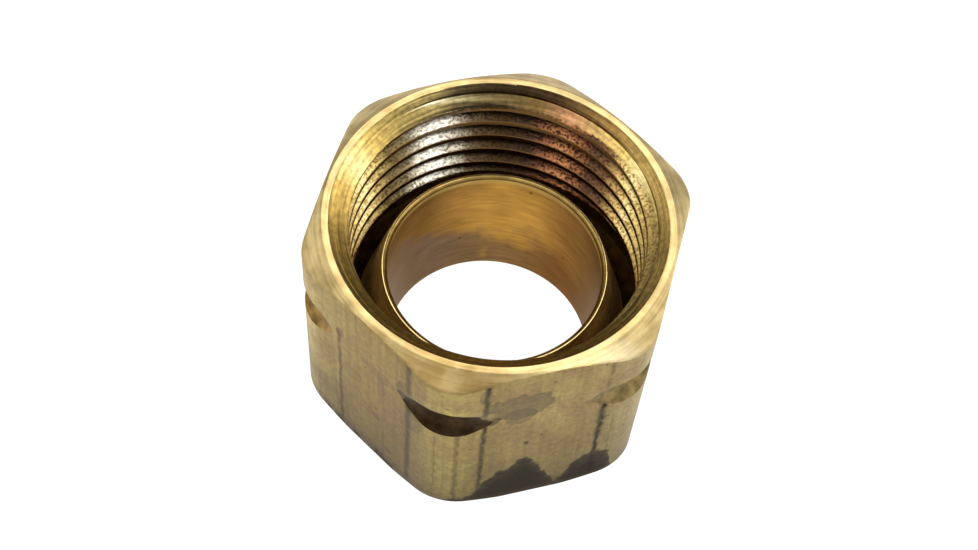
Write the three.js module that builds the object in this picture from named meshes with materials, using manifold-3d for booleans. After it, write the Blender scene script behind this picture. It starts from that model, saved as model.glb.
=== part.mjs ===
// Compression-type flare fitting in brass: a hexagon nut with an internal right-hand
// thread, and the loose thin-walled sleeve that seats inside it and grips the tube.
//
// Frame: millimetres, +Z up along the bore, origin in the middle of the nut's bottom
// (tube) end. The threaded mouth faces +Z. The hexagon's flats face 0, 60, 120 ... degrees.
import * as THREE from "three";
import { mergeVertices } from "three/addons/utils/BufferGeometryUtils.js";
import Module from "manifold-3d";

const wasm = await Module();
wasm.setup();

// Driving dimensions ------------------------------------------------------------------
const ACROSS_FLATS = 20.64; // 13/16 inch hexagon bar
const UNIT = ACROSS_FLATS / 2; // the proportions below are fractions of this half width
const NUT_LENGTH = 1.449 * UNIT;

// Outside of the nut
const CORNER_ROUND = 0.3 * UNIT; // the bar's six corners are rounded
const CORNER_SHARP_R = UNIT / Math.cos(Math.PI / 6);
const CORNER_R = CORNER_SHARP_R - CORNER_ROUND * (CORNER_SHARP_R / UNIT - 1);
const TOP_LAND_R = 0.983 * UNIT; // outer edge of the flat ring round the mouth
const TOP_CHAMFER = THREE.MathUtils.degToRad(30);
const BOTTOM_LAND_R = 1.0165 * UNIT;
const BOTTOM_CHAMFER = THREE.MathUtils.degToRad(36);
const GROOVE_Z = 1.02 * UNIT; // ring groove that only bites the six corners
const GROOVE_DEPTH = 0.07 * UNIT;
const GROOVE_HALF_WIDTH = 0.1225 * UNIT;
const ENVELOPE_R = CORNER_R + 0.2; // the lathe's passes run a little past the corners

// Inside of the nut
const THREAD_MINOR_R = 0.835 * UNIT;
const PITCH = 0.1327 * UNIT;
const THREAD_DEPTH = 0.541 * PITCH;
const THREAD_MAJOR_R = THREAD_MINOR_R + THREAD_DEPTH;
const MOUTH_R = 0.946 * UNIT;
const COUNTERSINK_DEPTH = 0.092 * UNIT;
const UNDERCUT_R = THREAD_MAJOR_R + 0.05;
const UNDERCUT_TOP = 0.64 * UNIT;
const UNDERCUT_BOTTOM = 0.505 * UNIT;
const TAIL_BORE_R = 0.705 * UNIT;
const TAIL_EDGE = 0.25; // small chamfer where the tail bore meets the bottom face

// Sleeve
const SLEEVE_TOP = 0.956 * UNIT;
const SLEEVE_BOTTOM = 0.2;
const SLEEVE_BORE_R = 0.622 * UNIT;
const SLEEVE_LIP_R = 0.66 * UNIT;
const LIP_LAND = 0.2; // flat width of the lip before its inner bevel
const LIP_ROUND = 0.12;
const SLEEVE_SHOULDER_R = 0.8 * UNIT;
const SLEEVE_SHOULDER_Z = 0.5 * UNIT;
const SHOULDER_EDGE = 0.35; // upright band at the shoulder's widest place
const SEAT_GAP = 0.3; // running room between sleeve and nut
const EXIT_BEVEL = 0.18; // bevel inside the sleeve's bottom end

// Fineness
const ROUND_STEPS = 72;
const CORNER_STEPS = 6;
const GROOVE_ARC_STEPS = 4;
const TURN_STEPS = 36;

// Thread place: the groove's middle height on the +X side, and where its cutter starts
const THREAD_Z_AT_X = 0.574 * UNIT;
const CUTTER_START = -Math.PI / 2;
const CUTTER_TURNS = 7.25;

const FULL_TURN = 2 * Math.PI;
const OVERCUT = 1;

// Solid helpers ------------------------------------------------------------------------
function solidOf(geometry) {
  geometry.deleteAttribute("normal");
  geometry.deleteAttribute("uv");
  const merged = mergeVertices(geometry, 1e-4);
  return new wasm.Manifold(
    new wasm.Mesh({
      numProp: 3,
      vertProperties: merged.attributes.position.array,
      triVerts: new Uint32Array(merged.index.array),
    }),
  );
}

function geometryOf(solid) {
  const mesh = solid.getMesh();
  const geometry = new THREE.BufferGeometry();
  geometry.setAttribute("position", new THREE.BufferAttribute(mesh.vertProperties, 3));
  geometry.setIndex(new THREE.BufferAttribute(mesh.triVerts, 1));
  geometry.computeVertexNormals();
  return geometry;
}

// Turns an outline of [radius, height] points, listed anticlockwise, round the Z axis.
function turned(outline) {
  const points = outline.map(([radius, height]) => new THREE.Vector2(radius, height));
  points.push(points[0].clone());
  const geometry = new THREE.LatheGeometry(points, ROUND_STEPS);
  geometry.rotateX(Math.PI / 2);
  return solidOf(geometry);
}

// Nut ----------------------------------------------------------------------------------
function hexagonBar() {
  const centreR = (UNIT - CORNER_ROUND) / Math.cos(Math.PI / 6);
  const outline = new THREE.Shape();
  for (let k = 0; k < 6; k += 1) {
    const angle = ((k + 0.5) * Math.PI) / 3;
    const x = centreR * Math.cos(angle);
    const y = centreR * Math.sin(angle);
    outline.absarc(x, y, CORNER_ROUND, angle - Math.PI / 6, angle + Math.PI / 6, false);
  }
  outline.closePath();
  const settings = { depth: NUT_LENGTH, bevelEnabled: false, curveSegments: CORNER_STEPS };
  return solidOf(new THREE.ExtrudeGeometry(outline, settings));
}

// What the lathe leaves of the bar: both chamfers, and the ring groove.
function turnedEnvelope() {
  const topDrop = (ENVELOPE_R - TOP_LAND_R) * Math.tan(TOP_CHAMFER);
  const bottomRise = (ENVELOPE_R - BOTTOM_LAND_R) * Math.tan(BOTTOM_CHAMFER);
  return turned([
    [0, 0],
    [BOTTOM_LAND_R, 0],
    [ENVELOPE_R, bottomRise],
    ...cornerGroove(),
    [ENVELOPE_R, NUT_LENGTH - topDrop],
    [TOP_LAND_R, NUT_LENGTH],
    [0, NUT_LENGTH],
  ]);
}

// One circular arc, from its lower edge to its upper edge.
function cornerGroove() {
  const radius = GROOVE_HALF_WIDTH ** 2 / (2 * GROOVE_DEPTH) + GROOVE_DEPTH / 2;
  const centreR = CORNER_R - GROOVE_DEPTH + radius;
  const half = Math.acos((centreR - ENVELOPE_R) / radius);
  const arc = [];
  for (let k = 0; k <= GROOVE_ARC_STEPS; k += 1) {
    const angle = -half + (2 * half * k) / GROOVE_ARC_STEPS;
    arc.push([centreR - radius * Math.cos(angle), GROOVE_Z + radius * Math.sin(angle)]);
  }
  return arc;
}

// Everything bored from the nut before it is threaded, as one solid of revolution.
function nutBore() {
  const seatDrop = UNDERCUT_R - TAIL_BORE_R; // the seat is a 45 degree cone
  const sinkSlope = (MOUTH_R - THREAD_MINOR_R) / COUNTERSINK_DEPTH;
  return turned([
    [0, -OVERCUT],
    [TAIL_BORE_R + TAIL_EDGE + OVERCUT, -OVERCUT],
    [TAIL_BORE_R, TAIL_EDGE],
    [TAIL_BORE_R, UNDERCUT_BOTTOM - seatDrop],
    [UNDERCUT_R, UNDERCUT_BOTTOM],
    [UNDERCUT_R, UNDERCUT_TOP],
    [THREAD_MINOR_R, UNDERCUT_TOP + THREAD_DEPTH / 2],
    [THREAD_MINOR_R, NUT_LENGTH - COUNTERSINK_DEPTH],
    [MOUTH_R + sinkSlope * OVERCUT, NUT_LENGTH + OVERCUT],
    [0, NUT_LENGTH + OVERCUT],
  ]);
}

// A straight bar of the groove's section, wound into a right-hand helix: the bar's length
// becomes the angle, and its height climbs one pitch in each turn.
function threadCutter() {
  const inside = THREAD_MINOR_R - THREAD_DEPTH / 2;
  const openHalf = (3 * PITCH) / 8 + (THREAD_DEPTH / 2) * Math.tan(Math.PI / 6);
  const rootHalf = PITCH / 16;
  const section = new THREE.Shape();
  section.moveTo(inside, -openHalf);
  section.lineTo(THREAD_MAJOR_R, -rootHalf);
  section.lineTo(THREAD_MAJOR_R, rootHalf);
  section.lineTo(inside, openHalf);
  section.closePath();
  const sweep = CUTTER_TURNS * FULL_TURN;
  const steps = Math.round(CUTTER_TURNS * TURN_STEPS);
  const bar = new THREE.ExtrudeGeometry(section, { depth: sweep, steps, bevelEnabled: false });
  const place = bar.attributes.position;
  for (let i = 0; i < place.count; i += 1) {
    const angle = CUTTER_START + place.getZ(i);
    const radius = place.getX(i);
    const height = THREAD_Z_AT_X + place.getY(i) + (PITCH * angle) / FULL_TURN;
    place.setXYZ(i, radius * Math.cos(angle), radius * Math.sin(angle), height);
  }
  return outwards(bar);
}

// Winding can turn a bar inside out; its triangles are reversed if it has.
function outwards(geometry) {
  const solid = solidOf(geometry);
  if (solid.volume() > 0) return solid;
  const mesh = solid.getMesh();
  const triVerts = mesh.triVerts.slice().reverse();
  const vertProperties = mesh.vertProperties;
  return new wasm.Manifold(new wasm.Mesh({ numProp: 3, vertProperties, triVerts }));
}

function hexNut() {
  const blank = hexagonBar().intersect(turnedEnvelope());
  return blank.subtract(nutBore()).subtract(threadCutter());
}

// Sleeve -------------------------------------------------------------------------------
// A tapered wall from the thin lip out to the shoulder, a 45 degree seat under it, and a
// thin tail that lines the nut's bore down to its bottom end.
function sleeve() {
  const tailR = TAIL_BORE_R - SEAT_GAP;
  const boreR = SLEEVE_BORE_R;
  const lipInnerR = SLEEVE_LIP_R - LIP_LAND;
  const bandBottom = SLEEVE_SHOULDER_Z - SHOULDER_EDGE;
  const seatBottom = bandBottom - (SLEEVE_SHOULDER_R - tailR);
  return turned([
    [boreR, SLEEVE_BOTTOM + EXIT_BEVEL],
    [boreR + EXIT_BEVEL, SLEEVE_BOTTOM],
    [tailR, SLEEVE_BOTTOM],
    [tailR, seatBottom],
    [SLEEVE_SHOULDER_R, bandBottom],
    [SLEEVE_SHOULDER_R, SLEEVE_SHOULDER_Z],
    [SLEEVE_LIP_R, SLEEVE_TOP - LIP_ROUND],
    [SLEEVE_LIP_R - LIP_ROUND / 2, SLEEVE_TOP],
    [lipInnerR, SLEEVE_TOP],
    [boreR, SLEEVE_TOP - (lipInnerR - boreR)],
  ]);
}

// Assembly -----------------------------------------------------------------------------
function piece(name, solid, color, roughness) {
  const material = new THREE.MeshStandardMaterial({ color, roughness, metalness: 1 });
  const mesh = new THREE.Mesh(geometryOf(solid), material);
  mesh.name = name;
  return mesh;
}

const fitting = new THREE.Group();
fitting.add(piece("hex_nut", hexNut(), 0xb39a5e, 0.38));
fitting.add(piece("sleeve", sleeve(), 0xb8873a, 0.3));

export default fitting;
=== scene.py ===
"""Brass flare fitting: a turned hexagon nut with a cut internal thread, and its loose sleeve."""

import math

import bmesh
import bpy
from mathutils import Matrix, Vector


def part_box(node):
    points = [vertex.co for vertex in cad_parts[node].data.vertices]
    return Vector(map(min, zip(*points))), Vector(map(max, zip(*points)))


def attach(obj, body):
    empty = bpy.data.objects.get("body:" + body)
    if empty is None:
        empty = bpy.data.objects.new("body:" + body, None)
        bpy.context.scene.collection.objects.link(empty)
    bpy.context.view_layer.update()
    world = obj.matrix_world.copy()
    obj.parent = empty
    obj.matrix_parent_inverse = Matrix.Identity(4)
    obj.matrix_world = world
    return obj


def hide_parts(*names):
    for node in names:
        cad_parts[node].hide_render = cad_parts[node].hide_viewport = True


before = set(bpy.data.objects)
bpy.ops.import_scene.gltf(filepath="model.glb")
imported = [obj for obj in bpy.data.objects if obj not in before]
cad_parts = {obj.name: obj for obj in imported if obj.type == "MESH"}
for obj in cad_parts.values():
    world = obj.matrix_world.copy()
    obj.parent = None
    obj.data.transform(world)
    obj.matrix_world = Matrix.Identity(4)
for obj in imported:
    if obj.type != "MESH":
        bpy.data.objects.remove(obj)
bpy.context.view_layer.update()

MM = 0.001
TURN = 2 * math.pi
_, NUT_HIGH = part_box("hex_nut")
SLEEVE_LOW, SLEEVE_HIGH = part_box("sleeve")

# Nut, outside ------------------------------------------------------------------------
UNIT = NUT_HIGH.x  # half the distance across flats; most sizes are fractions of it
LENGTH = NUT_HIGH.z
CORNER_R = NUT_HIGH.y
FLAT_STEP = math.radians(60)
CORNER_ROUND = 0.3 * UNIT
LAND_R = 0.983 * UNIT
TOP_SLOPE = math.tan(math.radians(30))
FOOT_R = 1.0165 * UNIT
FOOT_SLOPE = math.tan(math.radians(36))
GROOVE_Z = 1.02 * UNIT
GROOVE_DEPTH = 0.07 * UNIT
GROOVE_HALF = 0.1225 * UNIT
GROOVE_R = GROOVE_HALF**2 / (2 * GROOVE_DEPTH) + GROOVE_DEPTH / 2
GROOVE_AXIS_R = CORNER_R - GROOVE_DEPTH + GROOVE_R

# Nut, inside -------------------------------------------------------------------------
MINOR_R = 0.835 * UNIT
PITCH = 0.1327 * UNIT
DEPTH = 0.541 * PITCH
ROOT_HALF = 1 / 16  # half width of the groove's flat root, in pitches
OPEN_HALF = 3 / 8  # half width of the groove's opening, in pitches
MAJOR_R = MINOR_R + DEPTH
MOUTH_R = 0.946 * UNIT
SINK = 0.092 * UNIT
UNDERCUT_R = MAJOR_R + 0.05 * MM
UNDERCUT_TOP = 0.64 * UNIT
UNDERCUT_FOOT = 0.505 * UNIT
TAIL_R = 0.705 * UNIT
TAIL_EDGE = 0.25 * MM
GROOVE_MID_Z = 0.574 * UNIT  # height of the thread groove's middle on the +X side
THREAD_FOOT = 0.6 * UNIT  # where the threaded wall is sewn to the undercut
SINK_BLEND = 0.05 * MM  # rounding where the thread runs out through the countersink
UNDERCUT_BLEND = 0.03 * MM
NUT_EDGE = 0.05 * MM  # rounding of the nut's turned edges

# Sleeve ------------------------------------------------------------------------------
BORE_R = 0.622 * UNIT
LIP_R = 0.66 * UNIT
LIP_LAND = 0.2 * MM
LIP_ROUND = 0.12 * MM
SHOULDER_R = SLEEVE_HIGH.x
SHOULDER_Z = 0.5 * UNIT
SHOULDER_EDGE = 0.35 * MM
SEAT_GAP = 0.3 * MM  # running room between the sleeve and the nut
SLEEVE_TAIL_R = TAIL_R - SEAT_GAP
EXIT_BEVEL = 0.18 * MM
SLEEVE_EDGE = 0.04 * MM

# Fineness ----------------------------------------------------------------------------
STEPS = 288  # round the axis
SEW = 0.002 * MM  # points closer than this become one
SMOOTH_ANGLE = 40  # degrees; sharper edges stay crisp
NUT_SHARP = 24  # degrees; the nut's sharper edges are rounded
SLEEVE_SHARP = 20


# Mesh helpers ------------------------------------------------------------------------
def select_none():
    bpy.ops.object.select_all(action="DESELECT")


def use(obj):
    select_none()
    obj.select_set(True)
    bpy.context.view_layer.objects.active = obj


def lathe(name, corners):
    """Draws a ring out from a circle through the corners (radius, height) of a profile."""
    select_none()
    bpy.ops.mesh.primitive_circle_add(vertices=STEPS, radius=corners[0][0], enter_editmode=True)
    bpy.ops.transform.translate(value=(0, 0, corners[0][1]))
    for (radius, height), (last_radius, last_height) in zip(corners[1:], corners):
        rise = (0, 0, height - last_height)
        bpy.ops.mesh.extrude_region_move(TRANSFORM_OT_translate={"value": rise})
        growth = radius / last_radius
        bpy.ops.transform.resize(value=(growth, growth, 1), center_override=(0, 0, 0))
    bpy.ops.object.mode_set(mode="OBJECT")
    obj = bpy.context.object
    obj.name = obj.data.name = name
    return obj


def tidy_surface(obj):
    """Sews doubles, drops empty faces and turns every face outwards."""
    use(obj)
    bpy.ops.object.mode_set(mode="EDIT")
    bpy.ops.mesh.select_all(action="SELECT")
    bpy.ops.mesh.remove_doubles(threshold=SEW)
    bpy.ops.mesh.dissolve_degenerate(threshold=SEW / 2)
    bpy.ops.mesh.select_all(action="SELECT")
    bpy.ops.mesh.normals_make_consistent(inside=False)
    bpy.ops.object.mode_set(mode="OBJECT")


def apply_bevel(obj, width, angle, spare=None):
    """Rounds the edges sharper than the angle, except where spare says so."""
    use(obj)
    shape = bmesh.new()
    shape.from_mesh(obj.data)
    weight = shape.edges.layers.float.new("bevel_weight_edge")
    for edge in shape.edges:
        middle = (edge.verts[0].co + edge.verts[1].co) / 2
        sharp = edge.calc_face_angle(0) > math.radians(angle)
        edge[weight] = 1.0 if sharp and not (spare and spare(middle)) else 0.0
    shape.to_mesh(obj.data)
    shape.free()
    bevel = obj.modifiers.new("edge", "BEVEL")
    bevel.width = width
    bevel.segments = 2
    bevel.limit_method = "WEIGHT"
    bevel.use_clamp_overlap = True
    bpy.ops.object.modifier_apply(modifier=bevel.name)


def smooth(obj):
    use(obj)
    bpy.ops.object.shade_smooth_by_angle(angle=math.radians(SMOOTH_ANGLE))


def mix(a, b, t):
    return a + (b - a) * t


def soft_max(a, b, blend):
    """The larger of two radii, with the crease between them rounded over about blend."""
    h = max(blend - abs(a - b), 0) / blend
    return max(a, b) + h * h * blend / 4


# Nut shape ---------------------------------------------------------------------------
def bar_radius(angle):
    """The hexagon bar's outside at an angle round the axis, with its corners rounded."""
    off_flat = abs((angle + FLAT_STEP / 2) % FLAT_STEP - FLAT_STEP / 2)
    tangent = math.tan(FLAT_STEP / 2) * (UNIT - CORNER_ROUND)
    if UNIT * math.tan(off_flat) <= tangent:
        return UNIT / math.cos(off_flat)
    centre = (UNIT - CORNER_ROUND) / math.cos(FLAT_STEP / 2)
    off_corner = FLAT_STEP / 2 - off_flat
    across = centre * math.sin(off_corner)
    return centre * math.cos(off_corner) + math.sqrt(CORNER_ROUND**2 - across**2)


def groove_point(bar, t):
    """A point across the corner groove, t from -1 at its lower lip to 1 at its upper."""
    room = GROOVE_R**2 - (GROOVE_AXIS_R - bar) ** 2
    half = math.sqrt(max(room, 0))
    z = t * half
    if half == 0:
        return bar, GROOVE_Z
    return GROOVE_AXIS_R - math.sqrt(GROOVE_R**2 - z * z), GROOVE_Z + z


SIDE_ROWS = 16
NECK_ROWS = 5
GROOVE_ROWS = 12
CHAMFER_ROWS = 4
LAND_ROWS = 3


def outside_rows():
    """The nut's outside from its tail bore round the foot, up the flats and over the
    mouth ring. Each row is a rule that gives radius and height for a bar radius."""
    def foot_edge(bar):
        return min(bar, FOOT_R), 0

    def side_foot(bar):
        return bar, max(0, bar - FOOT_R) * FOOT_SLOPE

    def side_top(bar):
        return bar, LENGTH - (bar - LAND_R) * TOP_SLOPE

    def land(bar):
        return LAND_R, LENGTH

    def mouth(bar):
        return MOUTH_R, LENGTH

    def foot_bore(bar):
        return TAIL_R + TAIL_EDGE, 0

    rows = []

    def between(first, last, count):
        for k in range(count):
            t = k / count
            rows.append(
                lambda bar, t=t: tuple(mix(a, b, t) for a, b in zip(first(bar), last(bar)))
            )

    between(foot_bore, foot_edge, LAND_ROWS)
    between(foot_edge, side_foot, 2)
    between(side_foot, lambda bar: groove_point(bar, -1), SIDE_ROWS)
    for k in range(GROOVE_ROWS):
        rows.append(lambda bar, t=2 * k / GROOVE_ROWS - 1: groove_point(bar, t))
    between(lambda bar: groove_point(bar, 1), side_top, NECK_ROWS)
    between(side_top, land, CHAMFER_ROWS)
    between(land, mouth, LAND_ROWS)
    rows.append(mouth)
    return rows


def on_step(point):
    """The angle of the nearest of the STEPS columns round the axis."""
    return round(math.atan2(point.y, point.x) / TURN * STEPS) * TURN / STEPS


def place(vertex, angle, radius, height):
    vertex.co = (radius * math.cos(angle), radius * math.sin(angle), height)


def nut_outside():
    """A round blank of one ring for each row, milled to the hexagon, chamfers and groove."""
    rows = outside_rows()
    obj = lathe("nut_outside", [(CORNER_R, i * MM) for i in range(len(rows))])
    for vertex in obj.data.vertices:
        angle = on_step(vertex.co)
        radius, height = rows[round(vertex.co.z / MM)](bar_radius(angle))
        place(vertex, angle, radius, height)
    return obj


def nut_tail():
    """Undercut, 45 degree seat and tail bore, from the threaded wall down to the foot."""
    seat_foot = UNDERCUT_FOOT - (UNDERCUT_R - TAIL_R)
    corners = [
        (UNDERCUT_R, THREAD_FOOT),
        (UNDERCUT_R, UNDERCUT_FOOT),
        (TAIL_R, seat_foot),
        (TAIL_R, TAIL_EDGE),
        (TAIL_R + TAIL_EDGE, 0),
    ]
    return lathe("nut_tail", corners)


def thread_radius(turns):
    """The thread's own section: turns is the height in pitches above a groove's middle."""
    off_groove = abs((turns + 0.5) % 1 - 0.5)
    flank = (off_groove - ROOT_HALF) / (OPEN_HALF - ROOT_HALF)
    return MAJOR_R - DEPTH * min(max(flank, 0), 1)


def inside_radius(angle, height):
    turns = (height - GROOVE_MID_Z) / PITCH - angle / TURN
    thread = thread_radius(turns)
    sink = MINOR_R + (height - (LENGTH - SINK)) * (MOUTH_R - MINOR_R) / SINK
    relief = UNDERCUT_R - max(0, height - UNDERCUT_TOP)
    return soft_max(soft_max(thread, sink, SINK_BLEND), relief, UNDERCUT_BLEND)


def thread_stations():
    """Heights, in pitches, of the rows across one turn: close at the crest and root
    edges, spread over the flanks."""
    flank = [ROOT_HALF + 0.03, 0.15, 0.22, 0.29, OPEN_HALF - 0.02]
    half = [ROOT_HALF / 2, ROOT_HALF] + flank + [OPEN_HALF + 0.01, 7 / 16]
    return [0.0] + half + [0.5] + [1 - h for h in reversed(half)]


def threaded_wall():
    """One pitch of wall, wound into a right-hand screw and faced off at both ends."""
    heights = [GROOVE_MID_Z + (s - 2) * PITCH for s in thread_stations() + [1.0]]
    select_none()
    bpy.ops.mesh.primitive_circle_add(vertices=len(heights), radius=MINOR_R)
    obj = bpy.context.object
    obj.name = obj.data.name = "threaded_wall"
    for vertex, height in zip(obj.data.vertices, heights):
        vertex.co = (MINOR_R, 0, height)
    # The circle is opened between its first and last points, so that it is one plain line.
    ends = {0, len(heights) - 1}
    bpy.ops.object.mode_set(mode="EDIT")
    bpy.ops.mesh.select_mode(type="EDGE")
    bpy.ops.mesh.select_all(action="DESELECT")
    bpy.ops.object.mode_set(mode="OBJECT")
    for edge in obj.data.edges:
        edge.select = set(edge.vertices) == ends
    bpy.ops.object.mode_set(mode="EDIT")
    bpy.ops.mesh.delete(type="EDGE")
    bpy.ops.mesh.select_mode(type="VERT")
    bpy.ops.object.mode_set(mode="OBJECT")
    screw = obj.modifiers.new("screw", "SCREW")
    screw.axis = "Z"
    screw.angle = TURN
    screw.screw_offset = PITCH
    screw.iterations = math.ceil((LENGTH - THREAD_FOOT) / PITCH) + 2
    screw.steps = STEPS
    screw.render_steps = STEPS
    bpy.ops.object.modifier_apply(modifier=screw.name)
    for vertex in obj.data.vertices:
        angle = on_step(vertex.co)
        height = min(max(vertex.co.z, THREAD_FOOT), LENGTH)
        radius = inside_radius(angle, height)
        if height == LENGTH:
            radius = MOUTH_R
        if height == THREAD_FOOT:
            radius = UNDERCUT_R
        place(vertex, angle, radius, height)
    return obj


def in_corner_groove(point):
    """The groove's lips stay sharp, as the tool left them."""
    outside = math.hypot(point.x, point.y) > UNIT
    return outside and abs(point.z - GROOVE_Z) < GROOVE_HALF * 1.1


def hexagon_nut():
    parts = [nut_outside(), nut_tail(), threaded_wall()]
    select_none()
    for part in parts:
        part.select_set(True)
    bpy.context.view_layer.objects.active = parts[0]
    bpy.ops.object.join()
    nut = bpy.context.object
    nut.name = nut.data.name = "hexagon_nut"
    tidy_surface(nut)
    apply_bevel(nut, NUT_EDGE, NUT_SHARP, in_corner_groove)
    smooth(nut)
    return nut


# Sleeve shape ------------------------------------------------------------------------
def turned_sleeve():
    inner = LIP_R - LIP_LAND
    band_foot = SHOULDER_Z - SHOULDER_EDGE
    seat_foot = band_foot - (SHOULDER_R - SLEEVE_TAIL_R)
    top = SLEEVE_HIGH.z
    low = SLEEVE_LOW.z
    corners = [
        (BORE_R, low + EXIT_BEVEL),
        (BORE_R + EXIT_BEVEL, low),
        (SLEEVE_TAIL_R, low),
        (SLEEVE_TAIL_R, seat_foot),
        (SHOULDER_R, band_foot),
        (SHOULDER_R, SHOULDER_Z),
        (LIP_R, top - LIP_ROUND),
        (LIP_R - LIP_ROUND / 2, top),
        (inner, top),
        (BORE_R, top - (inner - BORE_R)),
    ]
    obj = lathe("turned_sleeve", corners + corners[:1])
    tidy_surface(obj)
    apply_bevel(obj, SLEEVE_EDGE, SLEEVE_SHARP)
    smooth(obj)
    return obj


# Materials ---------------------------------------------------------------------------
def linear(hex_colour):
    """An sRGB hex colour as linear RGBA."""
    channels = [int(hex_colour[i : i + 2], 16) / 255 for i in (1, 3, 5)]
    return (*(c / 12.92 if c <= 0.04045 else ((c + 0.055) / 1.055) ** 2.4 for c in channels), 1)


def node(tree, kind, inputs=None, stops=None, **settings):
    """Adds a node, gives it its settings, and sets or links its inputs. The stops of a
    colour ramp are pairs of place and sRGB hex colour. The first output is returned."""
    made = tree.nodes.new(kind)
    for name, value in settings.items():
        setattr(made, name, value)
    if stops:
        ramp = made.color_ramp
        while len(ramp.elements) < len(stops):
            ramp.elements.new(1)
        for element, (position, colour) in zip(ramp.elements, stops):
            element.position = position
            element.color = linear(colour)
    for key, value in (inputs or {}).items():
        if isinstance(value, bpy.types.NodeSocket):
            tree.links.new(value, made.inputs[key])
        elif isinstance(value, str):
            made.inputs[key].default_value = linear(value)
        else:
            made.inputs[key].default_value = value
    return next(output for output in made.outputs if output.enabled)


def new_metal(name, roughness, edge_tint="#ffffff"):
    """A Principled metal: its tree and its shader. The edge tint colours what it mirrors
    at a grazing angle, where a dirty skin is never white."""
    material = bpy.data.materials.new(name)
    material.use_nodes = True
    tree = material.node_tree
    shader = tree.nodes["Principled BSDF"]
    shader.inputs["Metallic"].default_value = 1
    shader.inputs["Roughness"].default_value = roughness
    shader.inputs["Specular Tint"].default_value = linear(edge_tint)
    return material, tree, shader


def cylinder_places(tree):
    """Object coordinates, then the angle round the axis in turns (0 on the +X side, rising
    anticlockwise seen from above), the radius and the height, both in millimetres."""
    here = node(tree, "ShaderNodeTexCoord")
    here = here.node.outputs["Object"]
    mm = node(tree, "ShaderNodeVectorMath", {0: here, "Scale": 1 / MM}, operation="SCALE")
    x = node(tree, "ShaderNodeSeparateXYZ", {0: mm})
    y, z = x.node.outputs[1], x.node.outputs[2]
    angle = node(tree, "ShaderNodeMath", {0: y, 1: x}, operation="ARCTAN2")
    turns = node(tree, "ShaderNodeMath", {0: angle, 1: 1 / TURN}, operation="MULTIPLY")
    turns = node(tree, "ShaderNodeMath", {0: turns, 1: 1.0}, operation="FLOORED_MODULO")
    flat = node(tree, "ShaderNodeVectorMath", {0: mm, 1: (1, 1, 0)}, operation="MULTIPLY")
    radius = node(tree, "ShaderNodeVectorMath", {0: flat}, operation="LENGTH")
    return mm, turns, radius, z


def deg(angle):
    """Degrees as a place on a ramp that runs once round the axis."""
    return angle / 360


# Hexagon bar drawn through a die: dull olive-tan brass with fine lines along the bar, a few
# heavy die lines, and dark tarnish that crept up from the end it stood on. Its rounded
# corners are painted lighter, as painted highlights.
DIE_LINES = [  # angle and half width in degrees, foot and top in units of UNIT, darkness
    (103, 1.0, 0.0, 1.5, 0.5),
    (171, 1.0, 0.0, 1.5, 0.45),
    (227.2, 1.1, 0.0, 1.12, 0.6),
    (247.4, 0.9, 0.0, 1.0, 0.25),
    (258.2, 1.7, 0.0, 1.5, 0.62),
    (268.0, 0.5, 0.0, 0.85, 0.3),
    (274.4, 1.1, 0.0, 0.92, 0.45),
    (281.8, 1.2, 0.0, 1.5, 0.78),
    (319.6, 1.0, 0.0, 0.7, 1.0),
    (319.7, 1.6, 0.55, 0.98, 0.9),
    (319.7, 1.1, 1.1, 1.5, 0.35),
    (323.4, 0.6, 0.1, 0.8, 0.3),
    (346, 0.9, 0.0, 1.5, 0.5),
]
LINE_FADE = 0.3  # mm over which a die line fades in or out at its ends
STAIN_TOPS = [  # angle in degrees, height of the stain's top edge in units of UNIT
    (0, 0.10),
    (20, 0.16),
    (33, 0.06),
    (70, 0.08),
    (95, 0.19),
    (118, 0.07),
    (150, 0.06),
    (176, 0.15),
    (200, 0.05),
    (240, 0.04),
    (262, 0.04),
    (280, 0.12),
    (285, 0.30),
    (291, 0.40),
    (297, 0.49),
    (300, 0.41),
    (304, 0.24),
    (308, 0.08),
    (311, 0.10),
    (314, 0.28),
    (319, 0.35),
    (325, 0.28),
    (327, 0.06),
    (360, 0.10),
]
BAR_TONES_AND_CORNER_HIGHLIGHTS = [  # the skin's own colour round the bar, with painted highlights at the rounded corners
    (0, "#8d7c4e"),
    (60, "#93825a"),
    (130, "#8a7850"),
    (200, "#a3925c"),
    (213, "#b5a56c"),
    (220, "#9a8957"),
    (238, "#8e7947"),
    (252, "#857145"),
    (258, "#836f45"),
    (263, "#8b7a4e"),
    (268, "#988855"),
    (273, "#a29259"),
    (278, "#9a8a52"),
    (283, "#8a7948"),
    (292, "#907e50"),
    (316, "#8f7d50"),
    (324, "#9a8b5e"),
    (336, "#a5966a"),
    (360, "#8d7c4e"),
]


def grey(level):
    """A level from 0 to 1, straight, as the hex colour that linear() turns back into it."""
    value = level * 12.92 if level <= 0.0031308 else 1.055 * level ** (1 / 2.4) - 0.055
    return "#" + f"{round(value * 255):02x}" * 3


def blob(tree, mm, centre, size, noise, edge=0.06):
    """A patch with a ragged edge inside an ellipsoid round the centre, for stains, knocks and
    painted shade: its body, from 0 to 1, and the darker tide mark at its edge."""
    away = node(tree, "ShaderNodeVectorMath", {0: mm, 1: centre}, operation="SUBTRACT")
    away = node(tree, "ShaderNodeVectorMath", {0: away, 1: size}, operation="DIVIDE")
    away = node(tree, "ShaderNodeVectorMath", {0: away}, operation="LENGTH")
    away = node(tree, "ShaderNodeMath", {0: away, 1: noise}, operation="ADD")
    body = node(tree, "ShaderNodeMapRange", {0: away, 1: 1 + edge, 2: 1 - edge, 3: 0.0, 4: 0.85})
    off = node(tree, "ShaderNodeMath", {0: away, 1: -0.95}, operation="ADD")
    off = node(tree, "ShaderNodeMath", {0: off}, operation="ABSOLUTE")
    rim = node(tree, "ShaderNodeMapRange", {0: off, 1: 0.12, 2: 0.02, 3: 0.0, 4: 0.3})
    return body, rim


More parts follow.
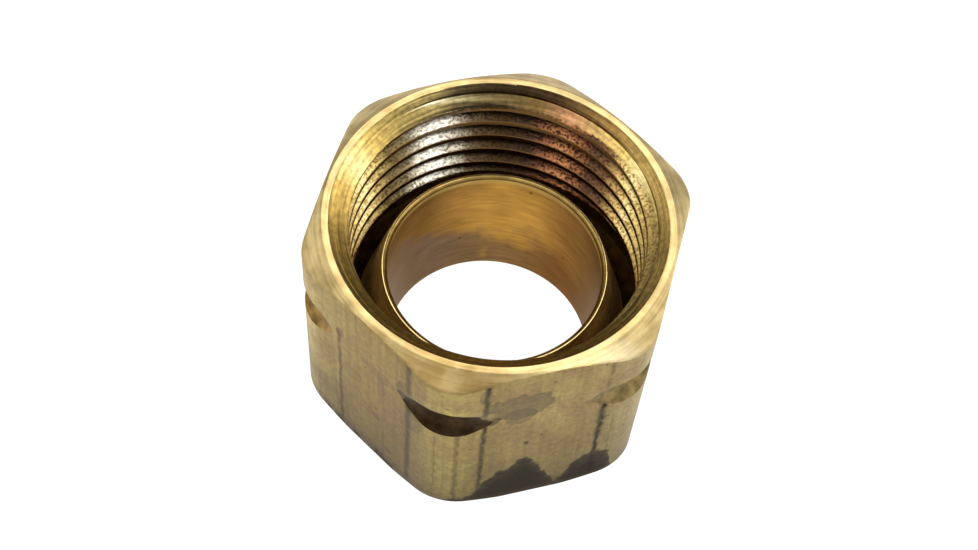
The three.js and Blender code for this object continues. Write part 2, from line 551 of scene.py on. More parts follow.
def on_flat(flat, across, height):
    """A place in millimetres on a flat: across it anticlockwise, and up, in units of UNIT."""
    a = math.radians(flat)
    unit = UNIT / MM
    return (
        unit * (math.cos(a) - across * math.sin(a)),
        unit * (math.sin(a) + across * math.cos(a)),
        unit * height,
    )


def drawn_brass_bar():
    material, tree, shader = new_metal("drawn_brass_bar", 0.45, "#faf2e6")
    mm, turns, _, z = cylinder_places(tree)
    along = node(tree, "ShaderNodeVectorMath", {0: mm, 1: (1, 1, 0.04)}, operation="MULTIPLY")

    # Fine draw lines 0.15 to 0.3 mm apart, and soft streaks 1 to 2 mm wide.
    lines = node(tree, "ShaderNodeTexNoise", {"Vector": along, "Scale": 3.6, "Detail": 2.0})
    streaks = node(tree, "ShaderNodeTexNoise", {"Vector": along, "Scale": 0.9, "Detail": 3.0})
    # Cloudy handling marks, 3 to 4 mm across, and the grain of the dulled skin, 0.3 mm.
    clouds = node(tree, "ShaderNodeTexNoise", {"Vector": mm, "Scale": 0.45, "Detail": 5.0})
    grain = node(tree, "ShaderNodeTexNoise", {"Vector": mm, "Scale": 3.2, "Detail": 4.0})

    # The skin's tone round the bar; its lighter rounded corners are painted highlights.
    skin = node(
        tree, "ShaderNodeValToRGB", {0: turns}, stops=[(deg(a), c) for a, c in BAR_TONES_AND_CORNER_HIGHLIGHTS]
    )
    warm = node(tree, "ShaderNodeMapRange", {0: clouds, 1: 0.42, 2: 0.66, 3: 0.0, 4: 0.55})
    skin = node(tree, "ShaderNodeMix", {0: warm, 6: skin, 7: "#7c6247"}, data_type="RGBA")
    lined = node(tree, "ShaderNodeMapRange", {0: lines, 1: 0.3, 2: 0.7, 3: 0.9, 4: 1.09})
    streaked = node(tree, "ShaderNodeMapRange", {0: streaks, 1: 0.3, 2: 0.7, 3: 0.92, 4: 1.08})
    grained = node(tree, "ShaderNodeMapRange", {0: grain, 1: 0.3, 2: 0.7, 3: 0.82, 4: 1.18})
    # Darker towards the foot.
    lower = node(tree, "ShaderNodeMapRange", {0: z, 1: 0.5, 2: 10.0, 3: 0.52, 4: 1.12})
    shade = node(tree, "ShaderNodeMath", {0: lined, 1: streaked}, operation="MULTIPLY")
    shade = node(tree, "ShaderNodeMath", {0: shade, 1: grained}, operation="MULTIPLY")
    shade = node(tree, "ShaderNodeMath", {0: shade, 1: lower}, operation="MULTIPLY")
    skin = node(tree, "ShaderNodeVectorMath", {0: skin, "Scale": shade}, operation="SCALE")

    # Heavy die lines at their own angles, each a dirty dip that comes and goes with height.
    waver = node(tree, "ShaderNodeTexNoise", {"Vector": mm, "Scale": 1.3, "Detail": 5.0})
    shift = node(tree, "ShaderNodeMapRange", {0: waver, 3: -deg(1.0), 4: deg(1.0)})
    wavered = node(tree, "ShaderNodeMath", {0: turns, 1: shift}, operation="ADD")
    unit = UNIT / MM
    die = 0.0
    for angle, half, foot, top, dark in DIE_LINES:
        off = node(tree, "ShaderNodeMath", {0: wavered, 1: -deg(angle)}, operation="ADD")
        off = node(tree, "ShaderNodeMath", {0: off}, operation="ABSOLUTE")
        across = {0: off, 1: deg(half), 2: deg(half * 0.2), 3: 0.0, 4: dark}
        line = node(tree, "ShaderNodeMapRange", across)
        for end, fade in ((top * unit, -LINE_FADE), (foot * unit, LINE_FADE)):
            stretch = {0: z, 1: end - fade, 2: end + fade, 3: 0.0, 4: 1.0}
            within = node(tree, "ShaderNodeMapRange", stretch)
            line = node(tree, "ShaderNodeMath", {0: line, 1: within}, operation="MULTIPLY")
        die = node(tree, "ShaderNodeMath", {0: die, 1: line}, operation="MAXIMUM")
    fade = node(tree, "ShaderNodeMapRange", {0: waver, 1: 0.65, 2: 0.45, 3: 0.8, 4: 1.1})
    die = node(tree, "ShaderNodeMath", {0: die, 1: fade}, operation="MULTIPLY")
    skin = node(tree, "ShaderNodeMix", {0: die, 6: skin, 7: "#1e1714"}, data_type="RGBA")

    # Blotches on the two flats that show most, and the smears at the die lines.
    ragged = node(tree, "ShaderNodeTexNoise", {"Vector": mm, "Scale": 1.1, "Detail": 5.0})
    wobble = node(tree, "ShaderNodeMapRange", {0: ragged, 3: -0.7, 4: 0.7})
    for flat, across, height, wide, tall, dark, tint in BLOTCHES:
        centre = on_flat(flat, across, height)
        size = (wide * unit, wide * unit, tall * unit)
        mask, rim = blob(tree, mm, centre, size, wobble)
        mask = node(tree, "ShaderNodeMath", {0: mask, 1: rim}, operation="ADD")
        mask = node(tree, "ShaderNodeMath", {0: mask, 1: dark}, operation="MULTIPLY")
        skin = node(tree, "ShaderNodeMix", {0: mask, 6: skin, 7: tint}, data_type="RGBA")

    # Tarnish from the foot upwards, with a ragged top edge, blacker lower down.
    rough_edge = node(tree, "ShaderNodeMapRange", {0: ragged, 3: -1.1, 4: 1.1})
    stops = [(deg(a), grey(h)) for a, h in STAIN_TOPS]
    tops = node(tree, "ShaderNodeValToRGB", {0: turns}, stops=stops)
    tops = node(tree, "ShaderNodeMath", {0: tops, 1: unit}, operation="MULTIPLY")
    tops = node(tree, "ShaderNodeMath", {0: tops, 1: rough_edge}, operation="ADD")
    above = node(tree, "ShaderNodeMath", {0: z, 1: tops}, operation="SUBTRACT")
    stain = node(tree, "ShaderNodeMapRange", {0: above, 1: 0.12, 2: -0.2, 3: 0.0, 4: 0.92})
    depth = node(tree, "ShaderNodeMath", {0: above, 1: grain}, operation="ADD")
    blotch = node(
        tree,
        "ShaderNodeValToRGB",
        {0: node(tree, "ShaderNodeMapRange", {0: depth, 1: -3.0, 2: 1.0})},
        stops=[(0.0, "#0c1114"), (0.45, "#131719"), (0.7, "#2e2926"), (1.0, "#564b40")],
    )
    skin = node(tree, "ShaderNodeMix", {0: stain, 6: skin, 7: blotch}, data_type="RGBA")

    # The foot's own edge is darker.
    foot_darkening = node(tree, "ShaderNodeMath", {0: z, 1: ragged}, operation="SUBTRACT")
    foot_darkening = node(tree, "ShaderNodeMapRange", {0: foot_darkening, 1: 1.0, 2: -0.3, 3: 0.0, 4: 0.85})
    skin = node(tree, "ShaderNodeMix", {0: foot_darkening, 6: skin, 7: "#2c1f18"}, data_type="RGBA")

    # Small pits, 0.15 mm.
    specks = node(tree, "ShaderNodeTexVoronoi", {"Vector": mm, "Scale": 0.8, "Randomness": 1.0})
    specks = node(tree, "ShaderNodeMapRange", {0: specks, 1: 0.09, 2: 0.04, 3: 0.0, 4: 0.7})
    skin = node(tree, "ShaderNodeMix", {0: specks, 6: skin, 7: "#2c231c"}, data_type="RGBA")
    tree.links.new(skin, shader.inputs["Base Color"])

    roughness = node(tree, "ShaderNodeMapRange", {0: stain, 3: 0.42, 4: 0.6})
    tree.links.new(roughness, shader.inputs["Roughness"])
    relief = node(tree, "ShaderNodeMath", {0: specks, 1: die}, operation="ADD")
    relief = node(tree, "ShaderNodeMath", {0: lines, 1: relief}, operation="SUBTRACT")
    bump = node(
        tree,
        "ShaderNodeBump",
        {"Height": relief, "Strength": 0.5, "Distance": 0.02 * MM},
    )
    tree.links.new(bump, shader.inputs["Normal"])
    return material


BLOTCHES = [  # flat, across, height, half width, half height, darkness, colour
    (300, -0.13, 1.12, 0.19, 0.13, 0.62, "#5a503f"),
    (300, -0.13, 1.0, 0.09, 0.09, 0.5, "#52463f"),
    (300, -0.31, 1.02, 0.07, 0.045, 0.75, "#2e2a28"),
    (300, -0.33, 1.30, 0.04, 0.08, 0.4, "#4a4440"),
    (300, 0.45, 1.05, 0.12, 0.07, 0.3, "#6a5a48"),
    (300, 0.33, 1.00, 0.10, 0.03, 0.45, "#5a4c40"),
    (300, -0.07, 0.66, 0.015, 0.02, 0.8, "#2c2420"),
    (300, 0.27, 0.44, 0.02, 0.03, 0.4, "#4c4034"),
    (240, 0.31, 1.045, 0.07, 0.035, 0.8, "#2a2220"),
    (240, 0.27, 1.10, 0.03, 0.07, 0.5, "#3a3432"),
    (240, 0.38, 0.86, 0.07, 0.12, 0.4, "#4c4842"),
    (240, 0.10, 1.02, 0.13, 0.05, 0.35, "#554840"),
    (240, 0.11, 0.90, 0.03, 0.10, 0.25, "#554840"),
    (240, -0.14, 0.76, 0.10, 0.07, 0.25, "#5c4a40"),
    (240, 0.07, 0.50, 0.04, 0.03, 0.5, "#523e32"),
    (240, 0.17, 0.20, 0.03, 0.03, 0.6, "#46342a"),
    (240, -0.22, 1.08, 0.035, 0.05, 0.45, "#4c3a34"),
    (270, -0.04, 0.62, 0.06, 0.02, 0.35, "#5c4436"),
]


# Knocked places and a painted shade on the mouth's chamfer, with their half sizes in
# millimetres.
SCUFF_PLACE = on_flat(300, 0.4, 1.4)
SCUFF_SIZE = (1.8, 1.2, 0.5)
FRONT_CORNER = on_flat(270, 0.0, 1.38)
FRONT_SIZE = (3.6, 1.6, 1.0)


# Brass fresh from the lathe: pale gold, with the tool's fine rings and a few scuffs, and
# painted shade on the front corner's chamfer.
def turned_brass(name, light, dark, roughness, scuffed=0.5):
    material, tree, shader = new_metal(name, roughness)
    mm, turns, radius, z = cylinder_places(tree)
    round_about = node(tree, "ShaderNodeMath", {0: turns, 1: 3.0}, operation="MULTIPLY")
    rings = node(tree, "ShaderNodeCombineXYZ", {0: radius, 1: round_about, 2: z})
    # Tool rings 0.1 mm apart, drawn at 0.2 mm so that they show.
    rings = node(tree, "ShaderNodeTexNoise", {"Vector": rings, "Scale": 4.5, "Detail": 3.0})
    scuffs = node(tree, "ShaderNodeTexNoise", {"Vector": mm, "Scale": 0.8, "Detail": 6.0})
    blend = node(tree, "ShaderNodeMix", {0: scuffed, 2: rings, 3: scuffs})
    colour = node(tree, "ShaderNodeValToRGB", {0: blend}, stops=[(0.38, dark), (0.6, light)])
    # Handling left it duller in places, 3 mm across.
    dulled = node(tree, "ShaderNodeTexNoise", {"Vector": mm, "Scale": 0.35, "Detail": 4.0})
    dulled = node(tree, "ShaderNodeMapRange", {0: dulled, 1: 0.35, 2: 0.65, 3: 1.08, 4: 0.82})
    colour = node(tree, "ShaderNodeVectorMath", {0: colour, "Scale": dulled}, operation="SCALE")
    # Knocks have left the metal pale on the chamfer right of the front corner.
    knocks = node(tree, "ShaderNodeMapRange", {0: scuffs, 3: -0.8, 4: 0.8})
    body, _ = blob(tree, mm, SCUFF_PLACE, SCUFF_SIZE, knocks, 0.35)
    pale = node(tree, "ShaderNodeMath", {0: body, 1: 0.4}, operation="MULTIPLY")
    colour = node(tree, "ShaderNodeMix", {0: pale, 6: colour, 7: "#e0d6b8"}, data_type="RGBA")
    # The front corner's chamfer is painted browner, most of all at its lower edge: painted shade
    # for the dark it mirrors there.
    body, _ = blob(tree, mm, FRONT_CORNER, FRONT_SIZE, knocks, 0.5)
    brown = node(tree, "ShaderNodeMath", {0: body, 1: 0.65}, operation="MULTIPLY")
    colour = node(tree, "ShaderNodeMix", {0: brown, 6: colour, 7: "#94743a"}, data_type="RGBA")
    tree.links.new(colour, shader.inputs["Base Color"])
    bump = node(
        tree,
        "ShaderNodeBump",
        {"Height": rings, "Strength": 0.5, "Distance": 0.03 * MM},
    )
    tree.links.new(bump, shader.inputs["Normal"])
    return material


# The corner groove: turned, then left to tarnish. Its upper side kept the bar's tan; its
# lower side is brown with tarnish, and at the front corner the groove is painted nearly
# black over its whole width: painted shade for the dark it mirrors there.
GROOVE_TARNISH_AND_SHADE = [  # angle in degrees, colour of the tarnish, nearly black at the front corner as painted shade
    (200, "#9a7a42"),
    (232, "#9a7a42"),
    (252, "#40301f"),
    (288, "#40301f"),
    (308, "#8a774c"),
    (345, "#8a774c"),
]
DARK_TOPS = [  # angle in degrees, how far above the groove's middle the dark goes, in mm; highest at the front corner's painted shade
    (240, 0.15),
    (254, 0.6),
    (259, 0.6),
    (262, 0.9),
    (266, 1.5),
    (272, 1.5),
    (277, 0.75),
    (282, -0.1),
    (290, 0.15),
]


def groove_tarnish_and_shade():
    material, tree, shader = new_metal("groove_tarnish_and_shade", 0.5)
    mm, turns, _, z = cylinder_places(tree)
    mottle = node(tree, "ShaderNodeTexNoise", {"Vector": mm, "Scale": 1.6, "Detail": 5.0})
    dark_tint = node(
        tree, "ShaderNodeValToRGB", {0: turns}, stops=[(deg(a), c) for a, c in GROOVE_TARNISH_AND_SHADE]
    )
    tops = [(deg(a), grey(0.5 + top / 4)) for a, top in DARK_TOPS]
    top = node(tree, "ShaderNodeValToRGB", {0: turns}, stops=tops)
    top = node(tree, "ShaderNodeMapRange", {0: top, 3: -2.0, 4: 2.0})
    wobble = node(tree, "ShaderNodeMapRange", {0: mottle, 3: -0.4, 4: 0.4})
    level = node(tree, "ShaderNodeMath", {0: z, 1: GROOVE_Z / MM}, operation="SUBTRACT")
    level = node(tree, "ShaderNodeMath", {0: level, 1: wobble}, operation="ADD")
    level = node(tree, "ShaderNodeMath", {0: level, 1: top}, operation="SUBTRACT")
    # Where the groove is dark: tarnish, and painted shade at the front corner.
    dirty = node(tree, "ShaderNodeMapRange", {0: level, 1: 0.1, 2: -0.1, 3: 0.0, 4: 1.0})
    colour = node(tree, "ShaderNodeMix", {0: dirty, 6: "#93814f", 7: dark_tint}, data_type="RGBA")
    shade = node(tree, "ShaderNodeMapRange", {0: mottle, 1: 0.35, 2: 0.65, 3: 0.6, 4: 1.3})
    colour = node(tree, "ShaderNodeVectorMath", {0: colour, "Scale": shade}, operation="SCALE")
    tree.links.new(colour, shader.inputs["Base Color"])
    return material


# Cut thread, never cleaned, brown with old oil. Round the bore it carries painted highlights,
# silvery in one window, bright yellow in two and coppery in one, with the oily brown between
# them deepened as painted shade.
THREAD_TINTS_AND_HIGHLIGHTS = [  # angle in degrees, colour of the bright flecks, colour of the ground
    (0, "#a88e54", "#7c683c"),
    (20, "#b89c5c", "#80683a"),
    (31, "#dcc078", "#8a6c3c"),
    (40, "#f4e09c", "#a0824a"),
    (47, "#dcb870", "#7c5c38"),
    (55, "#7a5838", "#442e22"),
    (64, "#5a4030", "#38261e"),
    (69, "#8c5a39", "#38261c"),
    (77, "#c48556", "#40281c"),
    (84, "#905d40", "#34241c"),
    (91, "#4c382a", "#30231c"),
    (104, "#46361f", "#30241a"),
    (116, "#584a36", "#382c22"),
    (123, "#b8b09c", "#6c6454"),
    (130, "#e6e2d6", "#a09a8c"),
    (137, "#d4ccb8", "#7c7464"),
    (144, "#7c6c4c", "#453a2a"),
    (153, "#74603a", "#40341f"),
    (161, "#d8bc74", "#7e6638"),
    (170, "#fae8a8", "#b89a58"),
    (179, "#e0c47c", "#957a44"),
    (190, "#b89c5c", "#8a7040"),
    (345, "#a88e54", "#7c683c"),
]


def thread_skin(tree, mm, turns, radius):
    """The thread's colour, with its painted highlights and shade, and its relief."""
    # Torn flecks of the cut, about 0.1 mm.
    fleck = node(tree, "ShaderNodeTexNoise", {"Vector": mm, "Scale": 5.5, "Detail": 3.0})
    drift = node(tree, "ShaderNodeTexNoise", {"Vector": mm, "Scale": 1.0, "Detail": 2.0})
    drift = node(tree, "ShaderNodeMapRange", {0: drift, 3: -deg(5), 4: deg(5)})
    place_round = node(tree, "ShaderNodeMath", {0: turns, 1: drift}, operation="ADD")
    # The bright flecks and the ground both follow the painted highlights round the bore.
    bright = [(deg(angle), light) for angle, light, ground in THREAD_TINTS_AND_HIGHLIGHTS]
    bright = node(tree, "ShaderNodeValToRGB", {0: place_round}, stops=bright)
    dull = [(deg(angle), ground) for angle, light, ground in THREAD_TINTS_AND_HIGHLIGHTS]
    dull = node(tree, "ShaderNodeValToRGB", {0: place_round}, stops=dull)
    torn = node(tree, "ShaderNodeMapRange", {0: fleck, 1: 0.37, 2: 0.56})
    tint = node(tree, "ShaderNodeMix", {0: torn, 6: dull, 7: bright}, data_type="RGBA")
    # The outer half of each flank, down in the groove, is darker: old oil, and painted shade
    # where the crest above hides it.
    root_shade_and_oil = node(
        tree,
        "ShaderNodeMapRange",
        {0: radius, 1: MAJOR_R / MM, 2: mix(MAJOR_R, MINOR_R, 0.8) / MM, 3: 0.3, 4: 1.05},
    )
    colour = node(
        tree, "ShaderNodeVectorMath", {0: tint, "Scale": root_shade_and_oil}, operation="SCALE"
    )
    # The crests are plain gold-brown, a painted highlight along each crest.
    crest = node(
        tree,
        "ShaderNodeMapRange",
        {0: radius, 1: MINOR_R / MM + 0.06, 2: MINOR_R / MM + 0.01, 3: 0.0, 4: 0.7},
    )
    colour = node(tree, "ShaderNodeMix", {0: crest, 6: colour, 7: "#94703c"}, data_type="RGBA")
    return colour, fleck


# Countersink: turned rings, golden on the left and right and brown-grey at the back, as painted
# reflections. Where the thread runs out through it, the thread's flank is painted brighter than
# the cone, with the thread's painted highlights.
SINK_TINTS_AND_REFLECTIONS = [
    (0, "#ac8e4e"),
    (40, "#b69856"),
    (62, "#9a7844"),
    (84, "#4b3824"),
    (104, "#403322"),
    (122, "#564931"),
    (140, "#9a8850"),
    (160, "#d0b062"),
    (171, "#f4dc94"),
    (182, "#ccaa5c"),
    (200, "#bc9a50"),
    (300, "#a88846"),
    (345, "#b89c58"),
]
RUNOUT_TINTS_AND_HIGHLIGHTS = [
    (0, "#b89c58"),
    (30, "#c8b068"),
    (40, "#f0dc98"),
    (50, "#d0b468"),
    (66, "#c4a064"),
    (76, "#c89468"),
    (90, "#84693c"),
    (112, "#8c7c54"),
    (122, "#9c9068"),
    (132, "#c8c09c"),
    (145, "#a09060"),
]


def countersink_skin(tree, mm, turns, radius, z):
    """The countersink's colour, with its painted reflections and highlights, and its relief."""
    round_about = node(tree, "ShaderNodeMath", {0: turns, 1: 1.5}, operation="MULTIPLY")
    rings = node(tree, "ShaderNodeCombineXYZ", {0: radius, 1: round_about, 2: z})
    rings = node(tree, "ShaderNodeTexNoise", {"Vector": rings, "Scale": 5.5, "Detail": 3.0})
    fleck = node(tree, "ShaderNodeTexNoise", {"Vector": mm, "Scale": 3.0, "Detail": 4.0})
    # Painted reflections round the cone, and painted highlights where the thread runs out.
    tint = node(
        tree, "ShaderNodeValToRGB", {0: turns}, stops=[(deg(a), c) for a, c in SINK_TINTS_AND_REFLECTIONS]
    )
    runout_tint = node(
        tree, "ShaderNodeValToRGB", {0: turns}, stops=[(deg(a), c) for a, c in RUNOUT_TINTS_AND_HIGHLIGHTS]
    )
    # The cone's own radius at this height; the thread is cut deeper than that.
    cone = node(
        tree,
        "ShaderNodeMapRange",
        {0: z, 1: (LENGTH - SINK) / MM, 2: LENGTH / MM, 3: MINOR_R / MM, 4: MOUTH_R / MM},
    )
    depth = node(tree, "ShaderNodeMath", {0: radius, 1: cone}, operation="SUBTRACT")
    runout = node(tree, "ShaderNodeMapRange", {0: depth, 1: 0.02, 2: 0.06})
    tint = node(tree, "ShaderNodeMix", {0: runout, 6: tint, 7: runout_tint}, data_type="RGBA")
    ringed = node(tree, "ShaderNodeMapRange", {0: rings, 1: 0.3, 2: 0.7, 3: 0.55, 4: 1.35})
    flecked = node(tree, "ShaderNodeMapRange", {0: fleck, 1: 0.35, 2: 0.65, 3: 0.75, 4: 1.2})
    shade = node(tree, "ShaderNodeMath", {0: ringed, 1: flecked}, operation="MULTIPLY")
    colour = node(tree, "ShaderNodeVectorMath", {0: tint, "Scale": shade}, operation="SCALE")
    return colour, rings


def threaded_mouth():
    material, tree, shader = new_metal("cut_brass_thread", 0.3)
    mm, turns, radius, z = cylinder_places(tree)
    thread, fleck = thread_skin(tree, mm, turns, radius)
    sink, rings = countersink_skin(tree, mm, turns, radius, z)
    # The thread's skin ends in a burred edge, a twentieth of a millimetre up and down.
    burr = node(tree, "ShaderNodeTexNoise", {"Vector": mm, "Scale": 2.5, "Detail": 3.0})
    burr = node(tree, "ShaderNodeMapRange", {0: burr, 3: -0.12, 4: 0.12})
    edge = node(tree, "ShaderNodeMath", {0: z, 1: burr}, operation="ADD")
    edge_z = (LENGTH - SINK) / MM
    above = node(tree, "ShaderNodeMapRange", {0: edge, 1: edge_z - 0.03, 2: edge_z + 0.03})
    colour = node(tree, "ShaderNodeMix", {0: above, 6: thread, 7: sink}, data_type="RGBA")
    tree.links.new(colour, shader.inputs["Base Color"])
    relief = node(tree, "ShaderNodeMix", {0: above, 2: fleck, 3: rings})
    bump = node(
        tree,
        "ShaderNodeBump",
        {"Height": relief, "Strength": 0.8, "Distance": 0.045 * MM},
    )
    tree.links.new(bump, shader.inputs["Normal"])
    return material


# The sleeve's lip, painted as the reflection it shows: a highlight on its outer edge, then a
# dark ring, then a golden bevel.
def turned_lip():
    material, tree, shader = new_metal("bright_turned_lip", 0.28)
    mm, _, radius, _ = cylinder_places(tree)
    across = node(tree, "ShaderNodeMapRange", {0: radius, 1: BORE_R / MM, 2: LIP_R / MM})
    # Painted reflection across the lip, by radius: highlight outside, dark ring, golden bevel.
    colour = node(
        tree,
        "ShaderNodeValToRGB",
        {0: across},
        stops=[
            (0.0, "#a88848"),
            (0.42, "#c8a860"),
            (0.5, "#4e3c22"),
            (0.62, "#4e3c22"),
            (0.7, "#e8d08c"),
        ],
    )
    scuffs = node(tree, "ShaderNodeTexNoise", {"Vector": mm, "Scale": 1.5, "Detail": 5.0})
    shade = node(tree, "ShaderNodeMapRange", {0: scuffs, 1: 0.35, 2: 0.65, 3: 0.75, 4: 1.1})
    colour = node(tree, "ShaderNodeVectorMath", {0: colour, "Scale": shade}, operation="SCALE")
    tree.links.new(colour, shader.inputs["Base Color"])
    return material


# Deep in the nut the brass was never wiped: brown-black with cutting oil.
def oiled_undercut():
    material, tree, shader = new_metal("oil_stained_brass", 0.42)
    mm, *_ = cylinder_places(tree)
    mottle = node(tree, "ShaderNodeTexNoise", {"Vector": mm, "Scale": 1.2, "Detail": 5.0})
    colour = node(
        tree,
        "ShaderNodeValToRGB",
        {0: mottle},
        stops=[(0.35, "#7a6240"), (0.6, "#a8884e"), (0.8, "#c8a860")],
    )
    tree.links.new(colour, shader.inputs["Base Color"])
    return material


# Sleeve bore: reamed brass, warm gold at the back and browner at the sides as painted
# reflections, with fine rings round the bore, brown clouds low down and a few small pits.
BORE_TINTS_AND_REFLECTIONS = [
    (0, "#60442c"),
    (30, "#64482e"),
    (60, "#926839"),
    (80, "#b88a40"),
    (108, "#ba8c42"),
    (130, "#98703a"),
    (150, "#7a5830"),
    (180, "#745a38"),
    (215, "#8c7250"),
    (320, "#7a5a30"),
    (345, "#60442c"),
]


def reamed_bore():
    material, tree, shader = new_metal("reamed_brass_bore", 0.34, "#e0cdb6")
    mm, turns, _, z = cylinder_places(tree)
    # Painted reflections: the bore's colour by angle round it.
    tint = node(
        tree, "ShaderNodeValToRGB", {0: turns}, stops=[(deg(a), c) for a, c in BORE_TINTS_AND_REFLECTIONS]
    )
    clouds = node(tree, "ShaderNodeTexNoise", {"Vector": mm, "Scale": 0.45, "Detail": 5.0})
    # Darker in the lower part, its edge following the clouds: brown on the right, purple-grey
    # on the left, where it reaches highest.
    lower_dark_tint = node(
        tree,
        "ShaderNodeValToRGB",
        {0: turns},
        stops=[
            (deg(20), "#5c3a20"),
            (deg(60), "#66422a"),
            (deg(100), "#645040"),
            (deg(140), "#665650"),
        ],
    )
    lift = node(tree, "ShaderNodeMapRange", {0: turns, 1: deg(105), 2: deg(165), 3: 0.0, 4: 3.2})
    level = node(tree, "ShaderNodeMapRange", {0: clouds, 3: -4.0, 4: 4.0})
    level = node(tree, "ShaderNodeMath", {0: z, 1: level}, operation="ADD")
    level = node(tree, "ShaderNodeMath", {0: level, 1: lift}, operation="SUBTRACT")
    lower_dark = node(tree, "ShaderNodeMapRange", {0: level, 1: 4.4, 2: 2.4, 3: 0.0, 4: 0.8})
    tint = node(tree, "ShaderNodeMix", {0: lower_dark, 6: tint, 7: lower_dark_tint}, data_type="RGBA")
    # A brighter band under the lip: a painted highlight along the bore's top edge.
    band = {0: z, 1: SLEEVE_HIGH.z / MM - 0.65, 2: SLEEVE_HIGH.z / MM - 0.4, 3: 0.0, 4: 0.6}
    band = node(tree, "ShaderNodeMapRange", band)
    tint = node(tree, "ShaderNodeMix", {0: band, 6: tint, 7: "#d8b66a"}, data_type="RGBA")
    across = node(tree, "ShaderNodeVectorMath", {0: mm, 1: (0.1, 0.1, 1)}, operation="MULTIPLY")
    rings = node(tree, "ShaderNodeTexNoise", {"Vector": across, "Scale": 5.0, "Detail": 5.0})
    shade = node(tree, "ShaderNodeMapRange", {0: rings, 1: 0.3, 2: 0.7, 3: 0.8, 4: 1.18})
    cloud = node(tree, "ShaderNodeMapRange", {0: clouds, 1: 0.3, 2: 0.7, 3: 1.12, 4: 0.85})
    shade = node(tree, "ShaderNodeMath", {0: shade, 1: cloud}, operation="MULTIPLY")
    colour = node(tree, "ShaderNodeVectorMath", {0: tint, "Scale": shade}, operation="SCALE")
    pits = node(tree, "ShaderNodeTexVoronoi", {"Vector": mm, "Scale": 0.45, "Randomness": 1.0})
    pits = node(tree, "ShaderNodeMapRange", {0: pits, 1: 0.07, 2: 0.03, 3: 0.0, 4: 0.7})
    colour = node(tree, "ShaderNodeMix", {0: pits, 6: colour, 7: "#3a2416"}, data_type="RGBA")
    tree.links.new(colour, shader.inputs["Base Color"])
    bump = node(
        tree,
        "ShaderNodeBump",
        {"Height": rings, "Strength": 0.5, "Distance": 0.02 * MM},
    )
    tree.links.new(bump, shader.inputs["Normal"])
    return material


# Stage -------------------------------------------------------------------------------
FLOOR_SIZE = 6  # metres, so that its edge is never in sight
FLOOR_GAP = 0.02 * MM


# Matt white board, glowing a little, so that it is white all over with only a faint shadow.
def pale_floor():
    select_none()
    bpy.ops.mesh.primitive_plane_add(size=FLOOR_SIZE, location=(0, 0, -FLOOR_GAP))
    floor = bpy.context.object
    floor.name = "pale_floor"
    material = bpy.data.materials.new("matt_white_board")
    material.use_nodes = True
    shader = material.node_tree.nodes["Principled BSDF"]
    shader.inputs["Base Color"].default_value = linear("#808080")
    shader.inputs["Roughness"].default_value = 0.9
    shader.inputs["Specular IOR Level"].default_value = 0
    shader.inputs["Emission Color"].default_value = (1, 1, 1, 1)
    shader.inputs["Emission Strength"].default_value = 0.95
    floor.data.materials.append(material)


def softbox(name, azimuth, elevation, distance, width, height, brightness):
    """A rectangular light aimed at the middle of the fitting; azimuth 0 is in front and 90
    on the right. Brightness is its radiance, so a white board beside it would be 1."""
    aim = Vector((0, 0, LENGTH / 2))
    a, e = math.radians(azimuth), math.radians(elevation)
    away = Vector((math.sin(a) * math.cos(e), -math.cos(a) * math.cos(e), math.sin(e)))
    data = bpy.data.lights.new(name, "AREA")
    data.shape = "RECTANGLE"
    data.size = width
    data.size_y = height
    data.energy = brightness * math.pi * width * height
    lamp = bpy.data.objects.new(name, data)
    lamp.location = aim + away * distance
    lamp.rotation_euler = away.to_track_quat("Z", "Y").to_euler()
    bpy.context.scene.collection.objects.link(lamp)


def studio_light():
    softbox("left_softbox", -95, 38, 0.5, 0.35, 0.35, 0.8)
    softbox("right_softbox", 116, 28, 0.5, 0.45, 0.4, 1.3)
    softbox("front_softbox", -38, 60, 0.6, 0.6, 0.35, 0.95)
    softbox("right_lamp", 68, 56, 0.5, 0.14, 0.14, 7)
    softbox("back_softbox", 190, 57, 0.5, 0.4, 0.3, 2.5)
    world = bpy.data.worlds.new("dim_room")
    world.use_nodes = True
    back = world.node_tree.nodes["Background"]
    back.inputs["Color"].default_value = (1, 1, 1, 1)
    back.inputs["Strength"].default_value = 0.5
    bpy.context.scene.world = world
    bpy.context.scene.view_settings.view_transform = "Standard"


# Camera ------------------------------------------------------------------------------
CAMERA_AZIMUTH = math.radians(10.2)  # to the right of straight in front
CAMERA_ELEVATION = 1.0042  # radians, about 57.5 degrees above level
CAMERA_ROLL = 0.1004  # radians, about 5.8 degrees
CAMERA_DISTANCE = 10.476 * UNIT
CAMERA_AIM = Vector((-0.1228 * UNIT, 0.5252 * UNIT, 0))
CAMERA_LENS = 59.84  # mm
SENSOR_WIDTH = 36  # mm
CLIP_START = 0.005  # metres, well short of the nut


def camera():
    level = math.cos(CAMERA_ELEVATION)
    away = Vector(
        (
            math.sin(CAMERA_AZIMUTH) * level,
            -math.cos(CAMERA_AZIMUTH) * level,
            math.sin(CAMERA_ELEVATION),
        )
    )
    data = bpy.data.cameras.new("camera")
    data.lens = CAMERA_LENS
    data.sensor_width = SENSOR_WIDTH
    data.clip_start = CLIP_START
    eye = bpy.data.objects.new("camera", data)
    turn = away.to_track_quat("Z", "Y").to_matrix() @ Matrix.Rotation(CAMERA_ROLL, 3, "Z")
    eye.matrix_world = Matrix.Translation(CAMERA_AIM + away * CAMERA_DISTANCE) @ turn.to_4x4()
    bpy.context.scene.collection.objects.link(eye)
    bpy.context.scene.camera = eye


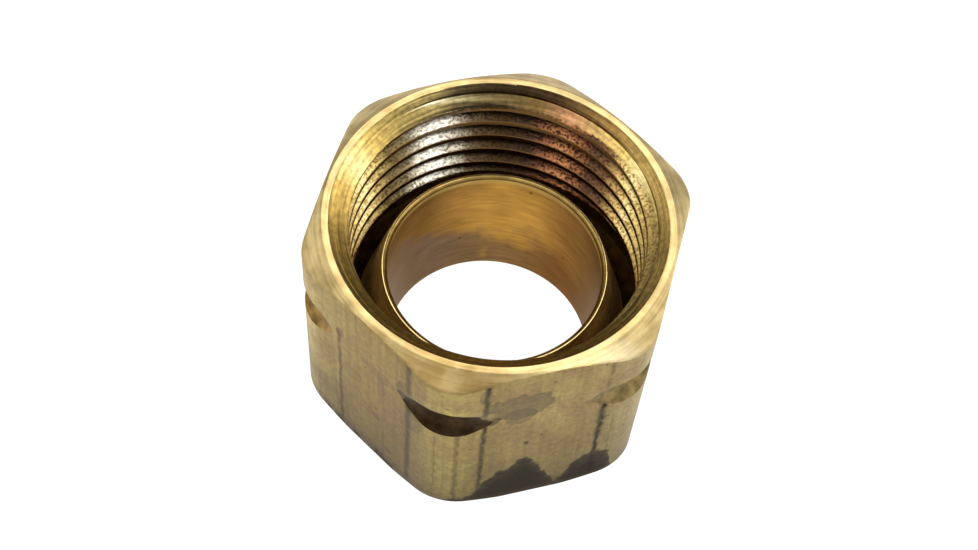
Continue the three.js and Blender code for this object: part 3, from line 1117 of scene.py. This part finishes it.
# Assembly ----------------------------------------------------------------------------
NEAR = 0.01 * MM  # how closely the middle of a face is taken to lie on a surface


def nut_finish(centre, normal):
    """Which of the nut's finishes a face has, by its place and the way it faces."""
    radius = math.hypot(centre.x, centre.y)
    outward = (normal.x * centre.x + normal.y * centre.y) / radius
    if centre.z > LENGTH - 2 * NEAR and radius > MOUTH_R - 3 * NEAR:
        return "turned"
    faces_in = outward < 0.3
    if radius < MOUTH_R + NEAR and faces_in:
        if centre.z < TAIL_EDGE + NUT_EDGE:
            return "turned"
        if centre.z < THREAD_FOOT + PITCH / 3:
            return "oiled"
        return "thread"
    bar = bar_radius(math.atan2(centre.y, centre.x))
    leaning = abs(normal.z) > 0.12 or radius < bar - 3 * NEAR
    if abs(centre.z - GROOVE_Z) < GROOVE_HALF and leaning:
        return "groove"
    on_chamfer = abs(normal.z) > 0.4
    return "turned" if on_chamfer else "bar"


def sleeve_finish(centre, normal):
    radius = math.hypot(centre.x, centre.y)
    outward = (normal.x * centre.x + normal.y * centre.y) / radius
    faces_the_tube = outward < -0.9
    if faces_the_tube:
        return "bore"
    if centre.z > SLEEVE_HIGH.z - LIP_LAND:
        return "lip"
    return "outside"


def paint(obj, materials, finish_of):
    """Gives each face the finish that the rule names."""
    names = list(materials)
    for material in materials.values():
        obj.data.materials.append(material)
    for face in obj.data.polygons:
        face.material_index = names.index(finish_of(face.center, face.normal))


nut = hexagon_nut()
nut_materials = {
    "bar": drawn_brass_bar(),
    "turned": turned_brass("turned_brass", "#d4bc84", "#a48c5a", 0.34),
    "thread": threaded_mouth(),
    "oiled": oiled_undercut(),
    "groove": groove_tarnish_and_shade(),
}
paint(nut, nut_materials, nut_finish)
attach(nut, "nut")
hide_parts("hex_nut")

sleeve = turned_sleeve()
sleeve_materials = {
    "bore": reamed_bore(),
    "lip": turned_lip(),
    "outside": turned_brass("turned_sleeve_wall", "#f0d08c", "#c8a262", 0.5),
}
paint(sleeve, sleeve_materials, sleeve_finish)
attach(sleeve, "sleeve")
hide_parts("sleeve")

pale_floor()
studio_light()
camera()
